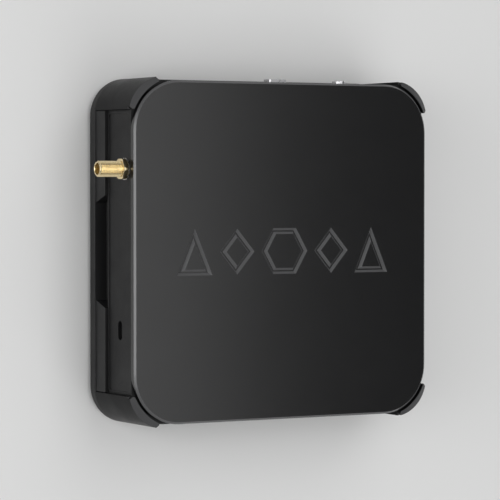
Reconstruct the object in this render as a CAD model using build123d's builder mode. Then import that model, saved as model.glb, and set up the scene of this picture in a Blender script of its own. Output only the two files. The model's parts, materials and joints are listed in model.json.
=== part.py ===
from build123d import *
import os
from math import cos, radians, sin, tan

# A small square desktop computer lying on its rubber feet, cover up, in millimetres.
# +Z leaves the cover's face, +Y the rear wall with the video ports, -X the left wall with the aerial socket.
# The origin is the centre of the bottom cover's underside, where a monitor bracket fastens.

# ---------------------------------------------------------------- driving dimensions

SIDE = 139.0  # over the corner posts and the base band
CORNER_R = 15.5  # outside corner of posts and base band
HEIGHT = 37.0  # bottom cover's underside to the top cover's face
SEAM_Z = 13.0  # where the upper shell meets the base shell
BAND_Z = 4.6  # top of the band round the base

COVER_SIDE = 136.0
COVER_R = 20.0
COVER_T = 3.0
COVER_BEVEL = 0.8

WALL_RECESS = 1.6  # upper shell's walls, inside the posts
WALL_T = 2.2
TAB_RECESS = 0.6  # base shell's tabs, inside the posts
PANEL_RECESS = 0.4  # shallow socket panel in each wall
PANEL_SIZE = (110.0, 18.6)
POST_LENGTH = 13.0  # along each wall, from the case's corner
SHOULDER_Z = 33.6  # top of a post, away from its ridge
RIDGE_Z = 36.4  # top of the ridge that stands beside the top cover's corner
RIDGE_LENGTH = 16.5  # across the corner
RIDGE_GROOVE = 1.2  # between the ridge and the top cover's rim
RIDGE_SLOPE = (2.2, 1.3)  # the ridge's crown falls away outwards: in by this much, down by this much

NOTCH_WIDTH = 39.0  # air recess in each side of the base shell, along its floor
NOTCH_SLANT = 3.0
MESH_T = 0.8
MESH_SLOT = (7.4, 1.4)
MESH_SLOTS = 16
MESH_PITCH = 2.6

HATCH_SIDE = 112.0  # bottom cover
HATCH_T = 2.0
HATCH_OPENING = 98.0
FOOT_R = 5.0
FOOT_AT = 59.5
FOOT_DROP = 2.0
FOOT_POCKET = 0.6
HATCH_SCREWS = [(x, y) for x in (-52.5, 52.5) for y in (-30.0, 30.0)]
HATCH_SCREW_R = 1.5
HATCH_HEAD_R = 2.7
HATCH_BOSS_R = 3.0
HATCH_BOSS_L = 4.0
VENT_Y = 14.0  # two rows of air slots in the bottom cover
VENT_SLOT = (22.0, 1.7)
VENT_PITCH = 3.4
VENTS_PER_ROW = 15
BRACKET_PITCH = 75.0  # the square that monitor brackets use
BRACKET_TAP_R = 1.65  # M4 thread, tapping size
INSERT_R = 3.0
INSERT_L = 6.5
INSERT_WALL = 1.4  # plastic round each brass insert

BOARD_SIDE = 126.0
BOARD_Z = 15.5  # underside
BOARD_T = 1.6
POST_SCREW_AT = 57.0  # board standoffs

MARK_WIDTH = 98.0  # debossed mark on the top cover
MARK_HEIGHT = 18.4
MARK_STROKE = 2.3
MARK_GAP = 3.4
MARK_DEPTH = 1.1
MARK_TAPER = 38.0  # degrees each groove's sides lean in, so it is nearly a V

FIT = 0.15  # gap between moulded pieces that slot together
RUN = 0.3  # gap round a moving piece

AERIAL_Y = 33.0
AERIAL_Z = 28.4
AERIAL_OUT = 12.5  # stands out from its wall panel by this much
AERIAL_R = 3.175  # quarter-inch thread
AERIAL_HEX = 8.0  # nut, across flats

LOCK_Y = -31.0
LOCK_Z = 23.5
LOCK_SLOT = (7.0, 3.0)
LOCK_PLATE = (14.0, 9.0)
LOCK_PLATE_T = 1.4

BUTTON_X = 48.0
BUTTON_Z = 23.0
BUTTON_R = 4.6
BUTTON_PROUD = 0.6
LIGHT_X = 37.0
LIGHT_R = 1.0

FAN_X = -3.0
FAN_Y = -22.0
FAN_SIDE = 50.0
FAN_LOW_Z = 18.0
FAN_TOP_Z = 31.0
ROTOR_R = 20.0
BLADES = 13

# ---------------------------------------------------------------- sizes that follow

HALF = SIDE / 2
WALL = HALF - WALL_RECESS
INNER = WALL - WALL_T
WALL_R = CORNER_R - WALL_RECESS
COVER_Z = HEIGHT - COVER_T
BOARD_TOP = BOARD_Z + BOARD_T
LIP = INNER - FIT  # outer face of the lips that reach inside the upper shell
LIP_T = 1.35
LIP_H = 1.8

LEFT, RIGHT, FRONT, REAR = (Vector(*d) for d in ((-1, 0, 0), (1, 0, 0), (0, -1, 0), (0, 1, 0)))

os.makedirs("parts", exist_ok=True)


# ---------------------------------------------------------------- helpers


def save(piece, name):
    """Label a finished piece and write it to its own file."""
    piece.part.label = name
    export_step(piece.part, f"parts/{name}.step")


def wall_plane(side, along=0.0, height=0.0, out=0.0):
    """A plane on a side wall's outer face: local X runs along the wall, local Y up, local Z outwards."""
    across = Vector(0, 0, 1).cross(side)
    return Plane(origin=side * (WALL + out) + across * along + Vector(0, 0, height), x_dir=across, z_dir=side)


def brick(low, high, mode=Mode.ADD):
    """A box from its lowest to its highest corner."""
    with Locations(tuple((a + b) / 2 for a, b in zip(low, high))):
        Box(*(b - a for a, b in zip(low, high)), mode=mode)


def tablet(side_x, side_y, radius, low, high, mode=Mode.ADD):
    """A flat rounded rectangle about the Z axis, from height low to high."""
    with BuildSketch(Plane.XY.offset(low)) as outline:
        RectangleRounded(side_x, side_y, radius)
    extrude(outline.sketch, amount=high - low, mode=mode)


def disc(x, y, radius, low, high, mode=Mode.ADD):
    """An upright cylinder from height low to high."""
    with BuildSketch(Plane.XY.offset(low)) as outline:
        with Locations((x, y)):
            Circle(radius)
    extrude(outline.sketch, amount=high - low, mode=mode)


def column(at, radius, near, far, mode=Mode.ADD):
    """A cylinder along a plane's normal, between two distances from the plane."""
    with BuildSketch(at.offset(near)) as outline:
        Circle(radius)
    extrude(outline.sketch, amount=far - near, mode=mode)


def pill(at, width, height, radius, near, far, mode=Mode.ADD, drop=0.0):
    """A rounded bar along a plane's normal, its section lowered by drop."""
    with BuildSketch(at.offset(near)) as outline:
        with Locations((0, -drop)):
            RectangleRounded(width, height, radius)
    extrude(outline.sketch, amount=far - near, mode=mode)


def corners(distance):
    """The four points at the same distance along X and Y."""
    return [(sx * distance, sy * distance) for sx in (-1, 1) for sy in (-1, 1)]


# ---------------------------------------------------------------- ports, as they sit in the walls

REAR_PORTS = {
    "power_jack": -48.0,
    "audio_jack": -36.0,
    "hdmi_port": -21.5,
    "display_port": -5.5,
    "network_jack": 16.0,
}
USB_AT = {"usb_port_rear": 30.0, "usb_port_middle": 10.0, "usb_port_front": -10.0}
USB_C_AT = -30.0

HDMI = (15.0, 5.6)
DISPLAY = (8.2, 5.2)
NETWORK = (16.0, 13.4)
USB_A = (14.4, 6.9)
USB_C = (8.94, 3.3)
POWER = (9.4, 11.0)
AUDIO = (6.4, 6.0)
SHELL_T = 0.4  # folded sheet round a socket
JACK_SLEEVE_R = 3.75  # round the power inlet
AUDIO_FERRULE_R = 2.9

PORT_PROUD = {"hdmi_port": 0.4, "display_port": 1.9, "audio_jack": 1.9, "network_jack": 0.2, "usb": 0.4}
GRILLE_PITCH = 3.0
GRILLE_SLOTS = 17
GRILLE_SLOT_W = 1.6


def rear_port(name, height):
    """The plane at a rear port's centre, for a socket that stands on the board."""
    return wall_plane(REAR, REAR_PORTS[name], BOARD_TOP + height / 2)


def right_port(along, height):
    """The plane at a right-hand port's centre, for a socket that stands on the board."""
    return wall_plane(RIGHT, along, BOARD_TOP + height / 2)


# ---------------------------------------------------------------- casing


def mark_figures():
    """A plain ornament: five closed figures in a row, each drawn as one stroke of even width."""
    top = MARK_HEIGHT / 2
    point = top / cos(radians(30))
    half = (MARK_WIDTH / 2 - point) / 4 - MARK_GAP / 2
    hexagon = [(point * cos(radians(turn)), point * sin(radians(turn))) for turn in range(0, 360, 60)]
    diamond = [(-half, 0), (0, -top), (half, 0), (0, top)]
    triangle = [(-half, -top), (half, -top), (0, top)]
    placed = [(hexagon, 0)]
    for side in (-1, 1):
        placed.append((diamond, side * (point + MARK_GAP + half)))
        placed.append((triangle, side * (MARK_WIDTH / 2 - half)))
    figures = []
    for points, x in placed:
        with BuildSketch(Plane.XY.offset(HEIGHT)) as figure:
            with Locations((x, 0)):
                Polygon(*points, align=None)
            offset(amount=-MARK_STROKE, kind=Kind.INTERSECTION, mode=Mode.SUBTRACT)
        figures.append(figure.sketch)
    return figures


with BuildPart() as top_cover:
    tablet(COVER_SIDE, COVER_SIDE, COVER_R, COVER_Z, HEIGHT)
    chamfer(top_cover.faces().sort_by(Axis.Z)[-1].outer_wire().edges(), length=COVER_BEVEL)
    lip_z = COVER_Z - LIP_H
    tablet(2 * LIP, 2 * LIP, WALL_R - WALL_T, lip_z, COVER_Z)
    tablet(2 * (LIP - LIP_T), 2 * (LIP - LIP_T), WALL_R - WALL_T - LIP_T, lip_z, COVER_Z, Mode.SUBTRACT)
    for figure in mark_figures():
        extrude(figure, amount=-MARK_DEPTH, taper=MARK_TAPER, mode=Mode.SUBTRACT)
save(top_cover, "top_cover")


def cut_port_holes():
    """Every opening in the upper shell's walls."""
    through = -2 * WALL_T
    clear = 2 * FIT
    rear = {"hdmi_port": HDMI, "display_port": DISPLAY, "network_jack": NETWORK}
    for name, (width, height) in rear.items():
        pill(rear_port(name, height), width + clear, height + clear, 0.5, 0, through, Mode.SUBTRACT)
    column(rear_port("power_jack", POWER[1]), JACK_SLEEVE_R + FIT, 0, through, Mode.SUBTRACT)
    column(rear_port("audio_jack", AUDIO[1]), AUDIO_FERRULE_R + FIT, 0, through, Mode.SUBTRACT)
    for along in USB_AT.values():
        pill(right_port(along, USB_A[1]), USB_A[0] + clear, USB_A[1] + clear, 0.5, 0, through, Mode.SUBTRACT)
    pill(right_port(USB_C_AT, USB_C[1]), USB_C[0] + clear, USB_C[1] + clear, 1.7, 0, through, Mode.SUBTRACT)
    column(wall_plane(LEFT, -AERIAL_Y, AERIAL_Z), AERIAL_R + FIT, 0, through, Mode.SUBTRACT)
    lock_hole = wall_plane(LEFT, -LOCK_Y, LOCK_Z)
    pill(lock_hole, *(size + 2 * RUN for size in LOCK_SLOT), 1.7, 0, through, Mode.SUBTRACT)
    column(wall_plane(FRONT, BUTTON_X, BUTTON_Z), BUTTON_R + RUN, 0, through, Mode.SUBTRACT)
    column(wall_plane(FRONT, LIGHT_X, BUTTON_Z), LIGHT_R + 0.05, 0, through, Mode.SUBTRACT)
    with BuildSketch(wall_plane(FRONT, FAN_X, (FAN_LOW_Z + FAN_TOP_Z) / 2)) as grille:
        with GridLocations(GRILLE_PITCH, 1, GRILLE_SLOTS, 1):
            SlotOverall(FAN_TOP_Z - FAN_LOW_Z - 1, GRILLE_SLOT_W, rotation=90)
    extrude(grille.sketch, amount=through, mode=Mode.SUBTRACT)


with BuildPart() as upper_shell:
    tablet(2 * WALL, 2 * WALL, WALL_R, SEAM_Z, COVER_Z)
    chamfer(upper_shell.faces().sort_by(Axis.Z)[0].edges(), length=0.4)
    tablet(2 * INNER, 2 * INNER, WALL_R - WALL_T, SEAM_Z, COVER_Z, Mode.SUBTRACT)
    for side in (LEFT, RIGHT, FRONT, REAR):
        panel = wall_plane(side, height=(SEAM_Z + COVER_Z) / 2)
        pill(panel, *PANEL_SIZE, 2.0, 0, -PANEL_RECESS, Mode.SUBTRACT)
    cut_port_holes()
save(upper_shell, "upper_shell")


def notch_outline(side):
    """The slanted-ended air recess, drawn on one side of the base shell."""
    floor, top = NOTCH_WIDTH / 2, NOTCH_WIDTH / 2 + NOTCH_SLANT
    with BuildSketch(wall_plane(side, out=WALL_RECESS)) as notch:
        Polygon((-floor, BAND_Z), (floor, BAND_Z), (top, SEAM_Z), (-top, SEAM_Z), align=None)
    return notch.sketch


with BuildPart() as base_shell:
    tablet(SIDE, SIDE, CORNER_R, 0, BAND_Z)
    chamfer(base_shell.faces().sort_by(Axis.Z)[0].outer_wire().edges(), length=0.8)
    chamfer(base_shell.faces().sort_by(Axis.Z)[-1].outer_wire().edges(), length=0.3)
    tablet(2 * WALL, 2 * WALL, WALL_R, BAND_Z, SEAM_Z)
    for side in (LEFT, RIGHT, FRONT, REAR):
        tab_width = 2 * (HALF - POST_LENGTH - RUN)
        pill(
            wall_plane(side, height=(BAND_Z + SEAM_Z) / 2), tab_width, SEAM_Z - BAND_Z, 0.3, 0,
            WALL_RECESS - TAB_RECESS,
        )
    tablet(2 * LIP, 2 * LIP, WALL_R - WALL_T, SEAM_Z, SEAM_Z + LIP_H)
    hollow = LIP - LIP_T
    tablet(2 * hollow, 2 * hollow, WALL_R - WALL_T - LIP_T, BAND_Z, SEAM_Z + LIP_H, Mode.SUBTRACT)
    tablet(HATCH_OPENING, HATCH_OPENING, 6, 0, BAND_Z, Mode.SUBTRACT)
    pocket = HATCH_SIDE + 2 * FIT
    tablet(pocket, pocket, 8, 0, HATCH_T, Mode.SUBTRACT)
    for side in (LEFT, RIGHT, FRONT, REAR):
        extrude(notch_outline(side), amount=-(HALF - hollow), mode=Mode.SUBTRACT)
    for x, y in corners(FOOT_AT):
        disc(x, y, FOOT_R + 0.1, 0, FOOT_POCKET, Mode.SUBTRACT)
    for x, y in HATCH_SCREWS:
        disc(x, y, HATCH_BOSS_R, BAND_Z, BAND_Z + HATCH_BOSS_L)
        disc(x, y, HATCH_SCREW_R + 0.05, HATCH_T, BAND_Z + HATCH_BOSS_L, Mode.SUBTRACT)
save(base_shell, "base_shell")

HATCH_SEAT = HATCH_T * 0.65  # the screw heads lie in counterbores of this depth

with BuildPart() as bottom_cover:
    tablet(HATCH_SIDE, HATCH_SIDE, 7.8, 0, HATCH_T)
    for x, y in corners(BRACKET_PITCH / 2):
        disc(x, y, INSERT_R + INSERT_WALL, HATCH_T, INSERT_L)
        disc(x, y, INSERT_R, 0, INSERT_L, Mode.SUBTRACT)
    with BuildSketch() as vents:
        with GridLocations(VENT_PITCH, 2 * VENT_Y, VENTS_PER_ROW, 2):
            SlotOverall(*VENT_SLOT, rotation=90)
    extrude(vents.sketch, amount=HATCH_T, mode=Mode.SUBTRACT)
    for x, y in HATCH_SCREWS:
        disc(x, y, HATCH_HEAD_R + 0.2, 0, HATCH_SEAT, Mode.SUBTRACT)
        disc(x, y, HATCH_SCREW_R + 0.2, 0, HATCH_T, Mode.SUBTRACT)
    chamfer(bottom_cover.faces().sort_by(Axis.Z)[0].outer_wire().edges(), length=0.4)
save(bottom_cover, "bottom_cover")

with BuildPart() as cover_screws:
    for x, y in HATCH_SCREWS:
        disc(x, y, HATCH_HEAD_R, 0.1, HATCH_SEAT)
        disc(x, y, HATCH_SCREW_R, HATCH_SEAT, BAND_Z + HATCH_BOSS_L - 0.5)
        with BuildSketch(Plane.XY.offset(0.1)) as drive:
            with Locations((x, y)):
                Rectangle(3.0, 0.7)
                Rectangle(0.7, 3.0)
        extrude(drive.sketch, amount=0.8, mode=Mode.SUBTRACT)
save(cover_screws, "cover_screws")

with BuildPart() as bracket_inserts:
    for x, y in corners(BRACKET_PITCH / 2):
        disc(x, y, INSERT_R, 0, INSERT_L)
        disc(x, y, BRACKET_TAP_R, 0, INSERT_L, Mode.SUBTRACT)
save(bracket_inserts, "bracket_inserts")

with BuildPart() as rubber_feet:
    for x, y in corners(FOOT_AT):
        disc(x, y, FOOT_R, -FOOT_DROP, FOOT_POCKET)
    fillet(rubber_feet.edges().filter_by(GeomType.CIRCLE).group_by(Axis.Z)[0], radius=0.6)
save(rubber_feet, "rubber_feet")

with BuildPart() as vent_meshes:
    mesh_z = (BAND_Z + SEAM_Z + LIP_H) / 2 - 0.1
    for side in (LEFT, RIGHT, FRONT, REAR):
        face = wall_plane(side, height=mesh_z, out=hollow - WALL)
        with BuildSketch(face) as sheet:
            Rectangle(NOTCH_WIDTH + 10, 2 * (mesh_z - BAND_Z))
            with GridLocations(MESH_PITCH, 1, MESH_SLOTS, 1):
                SlotOverall(*MESH_SLOT, rotation=90, mode=Mode.SUBTRACT)
        extrude(sheet.sketch, amount=-MESH_T)
save(vent_meshes, "vent_meshes")


def corner_post(sx, sy):
    """The upright at one corner: a skin round the shells, with a ridge beside the top cover's corner."""
    groove_side = COVER_SIDE + 2 * RIDGE_GROOVE
    middle = HALF - POST_LENGTH / 2
    across = Plane(origin=(sx * HALF, sy * HALF, COVER_Z), x_dir=(-sx, sy, 0), z_dir=(0, 0, 1))
    with BuildPart() as post:
        tablet(SIDE, SIDE, CORNER_R, BAND_Z, RIDGE_Z)
        crown = post.faces().sort_by(Axis.Z)[-1]
        chamfer(crown.edges(), *RIDGE_SLOPE, reference=crown)
        tablet(2 * WALL, 2 * WALL, WALL_R, BAND_Z, COVER_Z, Mode.SUBTRACT)
        tablet(groove_side, groove_side, COVER_R + RIDGE_GROOVE, COVER_Z, RIDGE_Z, Mode.SUBTRACT)
        with BuildSketch(Plane.XY.offset(BAND_Z)) as corner:
            with Locations((sx * middle, sy * middle)):
                Rectangle(POST_LENGTH, POST_LENGTH)
        extrude(corner.sketch, amount=RIDGE_Z - BAND_Z, mode=Mode.INTERSECT)
        with BuildSketch(across.offset(SHOULDER_Z - COVER_Z)) as beside_ridge:
            Rectangle(4 * POST_LENGTH, 4 * POST_LENGTH)
            Rectangle(RIDGE_LENGTH, 4 * POST_LENGTH, mode=Mode.SUBTRACT)
        extrude(beside_ridge.sketch, amount=RIDGE_Z - SHOULDER_Z, mode=Mode.SUBTRACT)
    return post


for side_name, sx in (("left", -1), ("right", 1)):
    for end_name, sy in (("front", -1), ("rear", 1)):
        save(corner_post(sx, sy), f"corner_post_{side_name}_{end_name}")

with BuildPart() as lock_plate:
    behind = wall_plane(LEFT, -LOCK_Y, LOCK_Z, out=-WALL_T)
    pill(behind, *LOCK_PLATE, 1, 0, -LOCK_PLATE_T)
    pill(behind, *LOCK_SLOT, 1.45, 0, -LOCK_PLATE_T, Mode.SUBTRACT)
save(lock_plate, "lock_plate")

# ---------------------------------------------------------------- aerial socket and its lead

aerial = wall_plane(LEFT, -AERIAL_Y, AERIAL_Z, out=-PANEL_RECESS)
PANEL_T = WALL_T - PANEL_RECESS
AERIAL_TAIL = -9.0  # crimped tail, inside the case
AERIAL_NECK_R = 2.8  # the thread's root, where the nut and the wall sit
AERIAL_FLANGE = (3.7, 2.0)
AERIAL_BORE_R = 2.3
AERIAL_BORE_FLOOR = AERIAL_OUT - 7.0
WASHER_R = 4.35
WASHER_T = 0.6
NUT_T = 2.2

with BuildPart() as antenna_connector:
    column(aerial, AERIAL_NECK_R, -PANEL_T, WASHER_T + NUT_T)
    column(aerial, AERIAL_R, WASHER_T + NUT_T, AERIAL_OUT)
    chamfer(antenna_connector.edges().filter_by(GeomType.CIRCLE).sort_by(Axis.X)[0], length=0.35)
    column(aerial, AERIAL_FLANGE[0], -PANEL_T - AERIAL_FLANGE[1], -PANEL_T)
    column(aerial, 1.7, AERIAL_TAIL, -PANEL_T - AERIAL_FLANGE[1])
    column(aerial, AERIAL_BORE_R, AERIAL_BORE_FLOOR, AERIAL_OUT, Mode.SUBTRACT)
    column(aerial, 1.2, AERIAL_TAIL, AERIAL_BORE_FLOOR, Mode.SUBTRACT)
save(antenna_connector, "antenna_connector")

with BuildPart() as antenna_washer:
    column(aerial, WASHER_R, 0, WASHER_T)
    column(aerial, AERIAL_R + FIT, 0, WASHER_T, Mode.SUBTRACT)
save(antenna_washer, "antenna_washer")

with BuildPart() as antenna_nut:
    with BuildSketch(aerial.offset(WASHER_T)) as hexagon:
        RegularPolygon(AERIAL_HEX / 2 / cos(radians(30)), 6)
        Circle(AERIAL_NECK_R + 0.02, mode=Mode.SUBTRACT)
    extrude(hexagon.sketch, amount=NUT_T)
    with BuildSketch(aerial.offset(WASHER_T)) as turned:
        Circle(WASHER_R)
    extrude(turned.sketch, amount=NUT_T, mode=Mode.INTERSECT)
save(antenna_nut, "antenna_nut")

with BuildPart() as antenna_insulator:
    column(aerial, AERIAL_BORE_R - 0.02, AERIAL_BORE_FLOOR, AERIAL_BORE_FLOOR + 2.5)
    column(aerial, 0.45, AERIAL_BORE_FLOOR, AERIAL_BORE_FLOOR + 2.5, Mode.SUBTRACT)
save(antenna_insulator, "antenna_insulator")

with BuildPart() as antenna_contact:
    column(aerial, 0.44, AERIAL_BORE_FLOOR, AERIAL_BORE_FLOOR + 5.5)
    chamfer(antenna_contact.edges().filter_by(GeomType.CIRCLE).sort_by(Axis.X)[0], length=0.15)
save(antenna_contact, "antenna_contact")

RADIO_X = -44.0
RADIO_Y = -4.0
RADIO_LENGTH = 30.0
CARD_WIDTH = 22.0
CARD_T = 0.8
RADIO_Z = 19.6
PLUG_X = RADIO_X + 6.0
PLUG_Y = RADIO_Y + 11.0
LEAD_R = 0.565
LEAD_Z = RADIO_Z + CARD_T + 0.9

lead_points = [
    aerial.origin + aerial.z_dir * AERIAL_TAIL,
    Vector(-48.5, AERIAL_Y, AERIAL_Z),
    Vector(PLUG_X - 0.5, 21.0, 22.0),
    Vector(PLUG_X, PLUG_Y + 1.6, LEAD_Z),
]


def arc_radii(points):
    """One radius for each bend of a lead: as large as the two runs beside it allow."""
    radii = []
    for before, bend, after in zip(points, points[1:], points[2:]):
        turn = (bend - before).get_angle(after - bend)
        shorter = min((bend - before).length, (after - bend).length)
        radii.append(0.45 * shorter / tan(radians(turn / 2)))
    return radii


lead_radii = arc_radii(lead_points)
print("aerial lead bend radii", [round(r, 1) for r in lead_radii])

with BuildPart() as antenna_pigtail:
    with BuildLine() as route:
        FilletPolyline(*lead_points, radius=lead_radii)
    with BuildSketch(Plane(origin=lead_points[0], z_dir=lead_points[1] - lead_points[0])):
        Circle(LEAD_R)
    sweep(path=route.wires()[0])
lead_length = route.wires()[0].length
print("aerial lead length", round(lead_length, 1), "volume", round(antenna_pigtail.part.volume, 2))
save(antenna_pigtail, "antenna_pigtail")

with BuildPart() as pigtail_plug:
    disc(PLUG_X, PLUG_Y, 1.5, RADIO_Z + CARD_T, RADIO_Z + CARD_T + 1.9)
    brick(
        (PLUG_X - 0.9, PLUG_Y, RADIO_Z + CARD_T + 0.2),
        (PLUG_X + 0.9, lead_points[-1].Y, RADIO_Z + CARD_T + 1.7),
    )
save(pigtail_plug, "pigtail_plug")

# ---------------------------------------------------------------- board

BOARD_HOLES = corners(POST_SCREW_AT)
COOLER_HOLES = [(x, y) for x in (-29.0, 13.0) for y in (13.0, 37.0)]

with BuildPart() as mainboard:
    tablet(BOARD_SIDE, BOARD_SIDE, 6, BOARD_Z, BOARD_TOP)
    for x, y in BOARD_HOLES:
        disc(x, y, 1.6, BOARD_Z, BOARD_TOP, Mode.SUBTRACT)
    for x, y in COOLER_HOLES:
        disc(x, y, 1.3, BOARD_Z, BOARD_TOP, Mode.SUBTRACT)
save(mainboard, "mainboard")

with BuildPart() as board_standoffs:
    for x, y in BOARD_HOLES:
        with BuildSketch(Plane.XY.offset(BAND_Z)) as hexagon:
            with Locations((x, y)):
                RegularPolygon(3.0, 6)
                Circle(1.25, mode=Mode.SUBTRACT)
        extrude(hexagon.sketch, amount=BOARD_Z - BAND_Z)
save(board_standoffs, "board_standoffs")


def pan_screw(x, y, head_r, shank_r, tip, seat):
    """A pan-head screw with its head on a seat and a cross in the head."""
    head = head_r * 0.62
    disc(x, y, head_r, seat, seat + head)
    disc(x, y, shank_r, tip, seat)
    with BuildSketch(Plane.XY.offset(seat + head / 2)) as cross:
        with Locations((x, y)):
            Rectangle(head_r * 1.2, head_r * 0.3)
            Rectangle(head_r * 0.3, head_r * 1.2)
    extrude(cross.sketch, amount=head / 2, mode=Mode.SUBTRACT)


with BuildPart() as board_screws:
    for x, y in BOARD_HOLES:
        pan_screw(x, y, 2.6, 1.24, BOARD_Z - 4, BOARD_TOP)
save(board_screws, "board_screws")

CHIP = (-8.0, 25.0)
CHIP_T = 1.3
PAD_T = 0.3
SPREADER_Z = BOARD_TOP + CHIP_T + PAD_T
SPREADER_T = 2.0
PIPE_T = 3.0
PIPE_WIDTH = 8.0
PIPE_BEND_R = 12.0
FIN_Y = -56.0
FIN_DEPTH = 11.0
FIN_PLATE_T = 0.6
FIN_LOW = SPREADER_Z + SPREADER_T + PIPE_T

with BuildPart() as processor:
    brick((CHIP[0] - 12, CHIP[1] - 15, BOARD_TOP), (CHIP[0] + 12, CHIP[1] + 15, BOARD_TOP + CHIP_T - 0.5))
    brick(
        (CHIP[0] - 5, CHIP[1] - 7, BOARD_TOP + CHIP_T - 0.5),
        (CHIP[0] + 5, CHIP[1] + 7, BOARD_TOP + CHIP_T),
    )
save(processor, "processor")

with BuildPart() as thermal_pad:
    brick((CHIP[0] - 8, CHIP[1] - 8, BOARD_TOP + CHIP_T), (CHIP[0] + 8, CHIP[1] + 8, SPREADER_Z))
save(thermal_pad, "thermal_pad")

with BuildPart() as heat_spreader:
    with BuildSketch(Plane.XY.offset(SPREADER_Z)) as plate:
        with Locations(CHIP):
            RectangleRounded(48, 34, 3)
        with Locations(*COOLER_HOLES):
            Circle(1.3, mode=Mode.SUBTRACT)
    extrude(plate.sketch, amount=SPREADER_T)
save(heat_spreader, "heat_spreader")

with BuildPart() as heat_pipe:
    pipe_z = SPREADER_Z + SPREADER_T + PIPE_T / 2
    pipe_points = [(x, y, pipe_z) for x, y in ((-26, CHIP[1]), (29, CHIP[1]), (29, FIN_Y), (-26, FIN_Y))]
    with BuildLine() as pipe_route:
        FilletPolyline(*pipe_points, radius=PIPE_BEND_R)
    with BuildSketch(Plane(origin=pipe_points[0], x_dir=(0, 1, 0), z_dir=(1, 0, 0))):
        RectangleRounded(PIPE_WIDTH, PIPE_T, PIPE_T * 0.45)
    sweep(path=pipe_route.wires()[0])
save(heat_pipe, "heat_pipe")

with BuildPart() as fin_stack:
    brick(
        (FAN_X - FAN_SIDE / 2, FIN_Y - FIN_DEPTH / 2, FIN_LOW),
        (FAN_X + FAN_SIDE / 2, FIN_Y + FIN_DEPTH / 2, FIN_LOW + FIN_PLATE_T),
    )
    with BuildSketch(Plane.XY.offset(FIN_LOW + FIN_PLATE_T)) as fins:
        with Locations((FAN_X, FIN_Y)):
            with GridLocations(2.0, 1, 25, 1):
                Rectangle(0.4, FIN_DEPTH)
    extrude(fins.sketch, amount=FAN_TOP_Z - FIN_LOW)
save(fin_stack, "fin_stack")

with BuildPart() as cooler_screws:
    for x, y in COOLER_HOLES:
        pan_screw(x, y, 2.4, 1.2, BOARD_Z - 1.5, SPREADER_Z + SPREADER_T)
save(cooler_screws, "cooler_screws")

# ---------------------------------------------------------------- fan

FAN_WALL = 0.9
LID_T = 0.6
SPINDLE_R = 1.5
HUB_R = 9.0
BLADE_T = 0.8
BLADE_LEAN = 35.0  # degrees
FAN_EARS = [(FAN_X - 21.5, FAN_Y + 20.5), (FAN_X + 21.5, FAN_Y + 20.5)]


def fan_footprint(low, high):
    """The blower's outline: a square, open towards the fins once its inside is cut away."""
    with BuildSketch(Plane.XY.offset(low)) as outline:
        with Locations((FAN_X, FAN_Y - 2)):
            RectangleRounded(FAN_SIDE, FAN_SIDE, 4)
    extrude(outline.sketch, amount=high - low)


with BuildPart() as fan_housing:
    fan_footprint(FAN_LOW_Z, FAN_TOP_Z)
    scroll_r = ROTOR_R + 2.4
    with BuildSketch(Plane.XY.offset(FAN_LOW_Z + FAN_WALL)) as scroll:
        with Locations((FAN_X, FAN_Y)):
            Circle(scroll_r)
        with Locations((FAN_X, FAN_Y - FAN_SIDE / 4 - 2)):
            Rectangle(2 * scroll_r, FAN_SIDE / 2)
    extrude(scroll.sketch, amount=FAN_TOP_Z - FAN_LOW_Z, mode=Mode.SUBTRACT)
    disc(FAN_X, FAN_Y, SPINDLE_R, FAN_LOW_Z + FAN_WALL, FAN_TOP_Z - 3)
    for x, y in FAN_EARS:
        disc(x, y, 1.15, FAN_LOW_Z, FAN_TOP_Z, Mode.SUBTRACT)
save(fan_housing, "fan_housing")

with BuildPart() as fan_lid:
    fan_footprint(FAN_TOP_Z, FAN_TOP_Z + LID_T)
    disc(FAN_X, FAN_Y, ROTOR_R - 3, FAN_TOP_Z, FAN_TOP_Z + LID_T, Mode.SUBTRACT)
    for x, y in FAN_EARS:
        disc(x, y, 1.3, FAN_TOP_Z, FAN_TOP_Z + LID_T, Mode.SUBTRACT)
save(fan_lid, "fan_lid")

with BuildPart() as fan_screws:
    for x, y in FAN_EARS:
        pan_screw(x, y, 1.9, 1.14, FAN_LOW_Z + 1, FAN_TOP_Z + LID_T)
save(fan_screws, "fan_screws")


def fan_blade():
    """One leaning blade's section, from just inside the hub out to the rotor's edge."""
    root = HUB_R - 0.6
    reach = ROTOR_R - HUB_R
    lean = reach * sin(radians(BLADE_LEAN))
    half = BLADE_T / 2
    halfway = (root + reach / 2, 0.4 * lean)
    with BuildSketch() as blade:
        with BuildLine():
            leading = ThreePointArc(
                (root, half), (halfway[0], halfway[1] + half), (ROTOR_R - BLADE_T, lean)
            )
            trailing = ThreePointArc(
                (root, -half), (halfway[0], halfway[1] - half), (ROTOR_R - 0.5, lean - 0.7)
            )
            Line(leading @ 0, trailing @ 0)
            Line(leading @ 1, trailing @ 1)
        make_face()
    return blade.sketch


with BuildPart() as fan_rotor:
    rotor_low = FAN_LOW_Z + FAN_WALL + 0.8
    rotor_high = FAN_TOP_Z - 0.8
    disc(FAN_X, FAN_Y, HUB_R, rotor_low, rotor_high - 1)
    fillet(fan_rotor.edges().filter_by(GeomType.CIRCLE).sort_by(Axis.Z)[-1], radius=1.5)
    with BuildSketch(Plane.XY.offset(rotor_low)) as blades:
        with Locations((FAN_X, FAN_Y)):
            with PolarLocations(0, BLADES):
                add(fan_blade())
    extrude(blades.sketch, amount=rotor_high - rotor_low)
    disc(FAN_X, FAN_Y, SPINDLE_R + 0.05, rotor_low, FAN_TOP_Z - 2.5, Mode.SUBTRACT)
save(fan_rotor, "fan_rotor")

# ---------------------------------------------------------------- memory, storage and radio cards

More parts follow.
